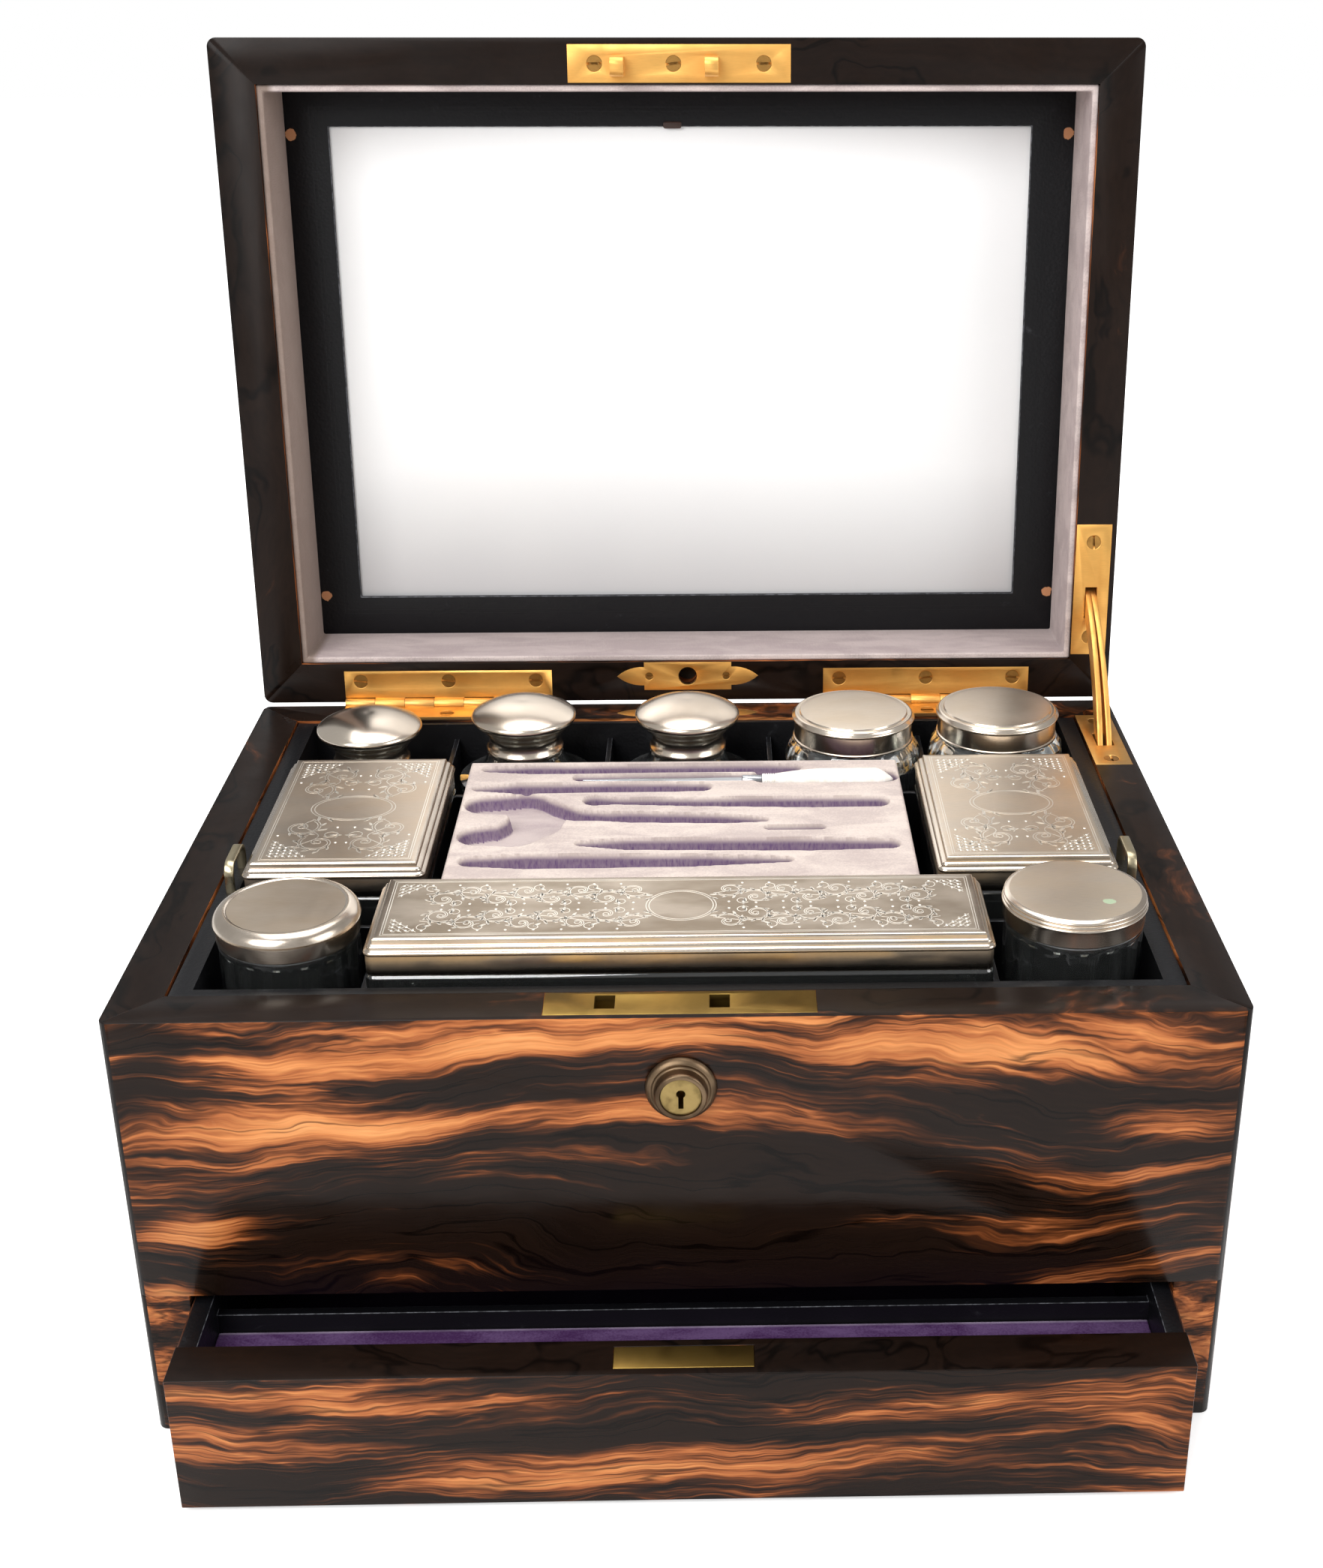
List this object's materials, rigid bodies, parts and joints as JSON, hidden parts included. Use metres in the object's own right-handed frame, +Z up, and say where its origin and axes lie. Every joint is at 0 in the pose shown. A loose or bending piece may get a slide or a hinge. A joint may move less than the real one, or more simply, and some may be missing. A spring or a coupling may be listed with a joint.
{
  "type": "dressing box",
  "caption": "Fitted dressing box with a mirrored hinged lid on a curved stay, a lift-out tray of silver-topped glass containers, a tool tray and a sprung-catch drawer.",
  "frame": {"origin": "centre of the case's underside, lid and drawer left out of the centring", "axes": "+X to the right seen from the front, +Y to the back, where the lid's hinge is, +Z up"},
  "size_m": [0.33, 0.3482, 0.3894],
  "materials": {
    "coromandel_veneer": "French-polished striped veneer",
    "carcase_wood": "plain mahogany, oiled",
    "brass": "satin brass with light tarnish",
    "steel": "polished steel with age marks",
    "lid_velvet": "faded lilac velvet",
    "drawer_velvet": "deep purple velvet",
    "pad_velvet": "faded lilac velvet, purple in the recesses",
    "leather": "black goatskin with worn edges",
    "mirror": "silvered glass",
    "bone": "polished bone",
    "clear_glass": "clear cut glass",
    "silver": "engraved silver plate with soft tarnish"
  },
  "bodies": {
    "case": {"body_front": "coromandel_veneer", "body_back": "coromandel_veneer", "body_left": "coromandel_veneer", "body_right": "coromandel_veneer", "base_board": "carcase_wood", "well_floor": "carcase_wood", "lock_plate": "brass", "lock_case": "brass", "escutcheon": "brass", "hinge_body_leaves": "brass", "hinge_pins": "brass", "stay_body_plate": "brass", "release_plate": "brass", "body_screws": "brass"},
    "lid": {"lid_walls": "coromandel_veneer", "lid_top": "coromandel_veneer", "lid_lining": "lid_velvet", "mirror_frame": "leather", "mirror_glass": "mirror", "catch_plate": "brass", "stay_lid_plate": "brass", "lid_pointed_plate": "brass", "hinge_lid_leaves": "brass", "lid_screws": "brass"},
    "stay": {"stay_arm": "brass"},
    "drawer": {"drawer_front": "coromandel_veneer", "drawer_box": "leather", "drawer_pads": "drawer_velvet", "drawer_plate": "brass", "drawer_catch": "steel"},
    "lock_plug": {"lock_plug": "brass"},
    "lock_bolt": {"lock_bolt": "steel"},
    "release_button": {"release_button": "brass"},
    "tray": {"tray_frame": "leather", "tray_dividers": "leather", "tray_loops": "brass"},
    "tool_tray": {"tool_board": "carcase_wood", "tool_pad": "pad_velvet"},
    "tool": {"tool_blade": "steel", "tool_handle": "bone"},
    "bottle_1": {"bottle_1_glass": "clear_glass"},
    "bottle_1_cap": {"bottle_1_cap": "silver"},
    "bottle_2": {"bottle_2_glass": "clear_glass"},
    "bottle_2_cap": {"bottle_2_cap": "silver"},
    "bottle_3": {"bottle_3_glass": "clear_glass"},
    "bottle_3_cap": {"bottle_3_cap": "silver"},
    "jar_1": {"jar_1_glass": "clear_glass"},
    "jar_1_lid": {"jar_1_lid": "silver"},
    "jar_2": {"jar_2_glass": "clear_glass"},
    "jar_2_lid": {"jar_2_lid": "silver"},
    "fluted_jar_1": {"fluted_jar_1_glass": "clear_glass"},
    "fluted_jar_1_lid": {"fluted_jar_1_lid": "silver"},
    "fluted_jar_2": {"fluted_jar_2_glass": "clear_glass"},
    "fluted_jar_2_lid": {"fluted_jar_2_lid": "silver"},
    "left_box": {"left_box_glass": "clear_glass"},
    "left_box_cover": {"left_box_cover": "silver"},
    "right_box": {"right_box_glass": "clear_glass"},
    "right_box_cover": {"right_box_cover": "silver"},
    "long_box": {"long_box_glass": "clear_glass"},
    "long_box_cover": {"long_box_cover": "silver"}
  },
  "joints": [
    {"name": "lid_hinge", "type": "hinge", "parent": "case", "child": "lid", "pos_m": [0, 0.12235, 0.1462], "axis": [-1, 0, 0], "range_deg": [-94.2, 0]},
    {"name": "stay_pivot", "type": "hinge", "parent": "lid", "child": "stay", "pos_m": [0.1564, 0.13052, 0.1864], "axis": [-1, 0, 0], "range_deg": [0, 31.9]},
    {"name": "drawer_slide", "type": "slide", "parent": "case", "child": "drawer", "axis": [0, -1, 0], "range_m": [-0.0366, 0.11], "deforming": ["drawer_catch"]},
    {"name": "plug_turn", "type": "hinge", "parent": "case", "child": "lock_plug", "pos_m": [0, -0.1215, 0.1227], "axis": [0, 1, 0], "range_deg": [0, 80]},
    {"name": "bolt_slide", "type": "slide", "parent": "case", "child": "lock_bolt", "axis": [1, 0, 0], "range_m": [0, 0.00644]},
    {"name": "button_press", "type": "slide", "parent": "case", "child": "release_button", "axis": [0, 0, 1], "range_m": [-0.003, 0], "stiffness_N_per_m": 150, "springref_m": 0.002},
    {"name": "tray_lift", "type": "slide", "parent": "case", "child": "tray", "axis": [0, 0, 1], "range_m": [0, 0.095]},
    {"name": "tool_tray_lift", "type": "slide", "parent": "tray", "child": "tool_tray", "axis": [0, 0, 1], "range_m": [0, 0.03]},
    {"name": "tool_lift", "type": "slide", "parent": "tool_tray", "child": "tool", "axis": [0, 0, 1], "range_m": [0, 0.02]},
    {"name": "bottle_1_lift", "type": "slide", "parent": "tray", "child": "bottle_1", "axis": [0, 0, 1], "range_m": [0, 0.09]},
    {"name": "bottle_1_cap_lift", "type": "slide", "parent": "bottle_1", "child": "bottle_1_cap", "axis": [0, 0, 1], "range_m": [0, 0.03]},
    {"name": "bottle_2_lift", "type": "slide", "parent": "tray", "child": "bottle_2", "axis": [0, 0, 1], "range_m": [0, 0.09]},
    {"name": "bottle_2_cap_lift", "type": "slide", "parent": "bottle_2", "child": "bottle_2_cap", "axis": [0, 0, 1], "range_m": [0, 0.03]},
    {"name": "bottle_3_lift", "type": "slide", "parent": "tray", "child": "bottle_3", "axis": [0, 0, 1], "range_m": [0, 0.09]},
    {"name": "bottle_3_cap_lift", "type": "slide", "parent": "bottle_3", "child": "bottle_3_cap", "axis": [0, 0, 1], "range_m": [0, 0.03]},
    {"name": "jar_1_lift", "type": "slide", "parent": "tray", "child": "jar_1", "axis": [0, 0, 1], "range_m": [0, 0.09]},
    {"name": "jar_1_lid_lift", "type": "slide", "parent": "jar_1", "child": "jar_1_lid", "axis": [0, 0, 1], "range_m": [0, 0.02]},
    {"name": "jar_2_lift", "type": "slide", "parent": "tray", "child": "jar_2", "axis": [0, 0, 1], "range_m": [0, 0.09]},
    {"name": "jar_2_lid_lift", "type": "slide", "parent": "jar_2", "child": "jar_2_lid", "axis": [0, 0, 1], "range_m": [0, 0.02]},
    {"name": "fluted_jar_1_lift", "type": "slide", "parent": "tray", "child": "fluted_jar_1", "axis": [0, 0, 1], "range_m": [0, 0.09]},
    {"name": "fluted_jar_1_lid_lift", "type": "slide", "parent": "fluted_jar_1", "child": "fluted_jar_1_lid", "axis": [0, 0, 1], "range_m": [0, 0.02]},
    {"name": "fluted_jar_2_lift", "type": "slide", "parent": "tray", "child": "fluted_jar_2", "axis": [0, 0, 1], "range_m": [0, 0.09]},
    {"name": "fluted_jar_2_lid_lift", "type": "slide", "parent": "fluted_jar_2", "child": "fluted_jar_2_lid", "axis": [0, 0, 1], "range_m": [0, 0.02]},
    {"name": "left_box_lift", "type": "slide", "parent": "tray", "child": "left_box", "axis": [0, 0, 1], "range_m": [0, 0.05]},
    {"name": "left_box_cover_lift", "type": "slide", "parent": "left_box", "child": "left_box_cover", "axis": [0, 0, 1], "range_m": [0, 0.02]},
    {"name": "right_box_lift", "type": "slide", "parent": "tray", "child": "right_box", "axis": [0, 0, 1], "range_m": [0, 0.05]},
    {"name": "right_box_cover_lift", "type": "slide", "parent": "right_box", "child": "right_box_cover", "axis": [0, 0, 1], "range_m": [0, 0.02]},
    {"name": "long_box_lift", "type": "slide", "parent": "tray", "child": "long_box", "axis": [0, 0, 1], "range_m": [0, 0.05]},
    {"name": "long_box_cover_lift", "type": "slide", "parent": "long_box", "child": "long_box_cover", "axis": [0, 0, 1], "range_m": [0, 0.02]}
  ],
  "couplings": [
    {"joint": "stay_pivot", "follows": "lid_hinge", "ratio": -0.3364},
    {"joint": "plug_turn", "follows": "bolt_slide", "rad_per_m": 216.8}
  ]
}
